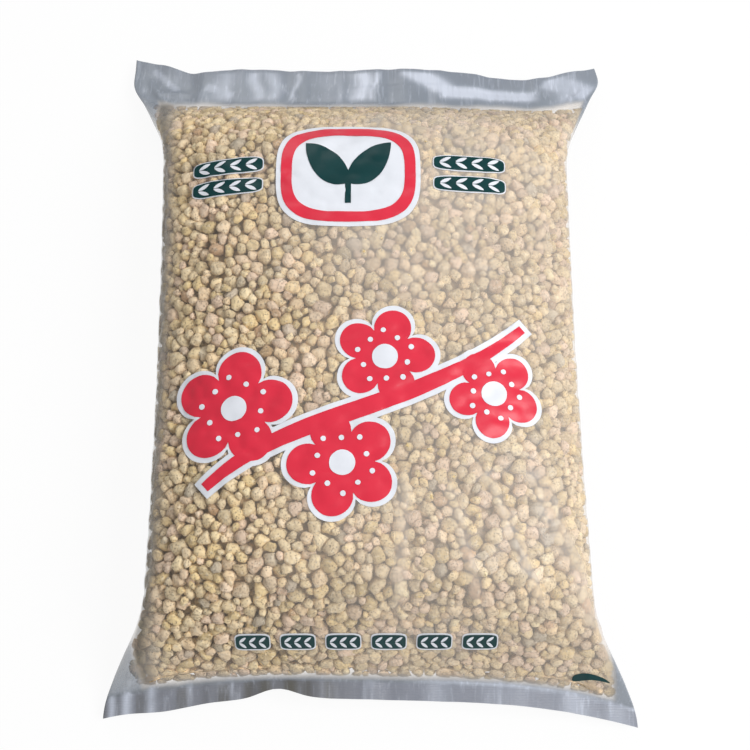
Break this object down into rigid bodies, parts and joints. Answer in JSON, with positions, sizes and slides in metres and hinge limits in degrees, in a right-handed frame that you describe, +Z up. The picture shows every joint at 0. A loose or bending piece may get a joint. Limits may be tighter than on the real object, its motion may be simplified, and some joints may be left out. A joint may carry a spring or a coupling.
{
  "type": "bag of orchid potting mix",
  "caption": "Clear plastic pillow bag of coarse pumice potting mix with two sealed ends, an empty header, corner ears and plain printed decoration, lying on its back.",
  "frame": {"origin": "centre of the bag's footprint, on the floor that its back panel lies on", "axes": "+Z up through the printed front, +Y along the bag towards the empty header, +X across the bag to the right seen from the front with the header up"},
  "size_m": [0.432, 0.6, 0.1291],
  "materials": {
    "clear_film": "clear glossy polyethylene film, slightly milky, grey-blue where it is doubled",
    "pumice": "dry matte pale cream to tan granules with fine pores",
    "white_ink": "opaque white ink under gloss",
    "red_ink": "opaque red ink under gloss",
    "green_ink": "opaque dark green ink under gloss"
  },
  "bodies": {
    "root": {"film_bag": "clear_film", "pumice_fill": "pumice", "emblem_field": "white_ink", "emblem_frame": "red_ink", "emblem_seedling": "green_ink", "leaf_tile_1": "green_ink", "leaf_tile_2": "green_ink", "leaf_tile_3": "green_ink", "leaf_tile_4": "green_ink", "spray_outline": "white_ink", "spray": "red_ink", "blossom_heart_1": "white_ink", "blossom_heart_2": "white_ink", "blossom_heart_3": "white_ink", "blossom_heart_4": "white_ink", "footer_dash_1": "green_ink", "footer_dash_2": "green_ink", "footer_dash_3": "green_ink", "footer_dash_4": "green_ink", "footer_dash_5": "green_ink", "footer_dash_6": "green_ink", "corner_stripe": "green_ink"}
  },
  "joints": []
}
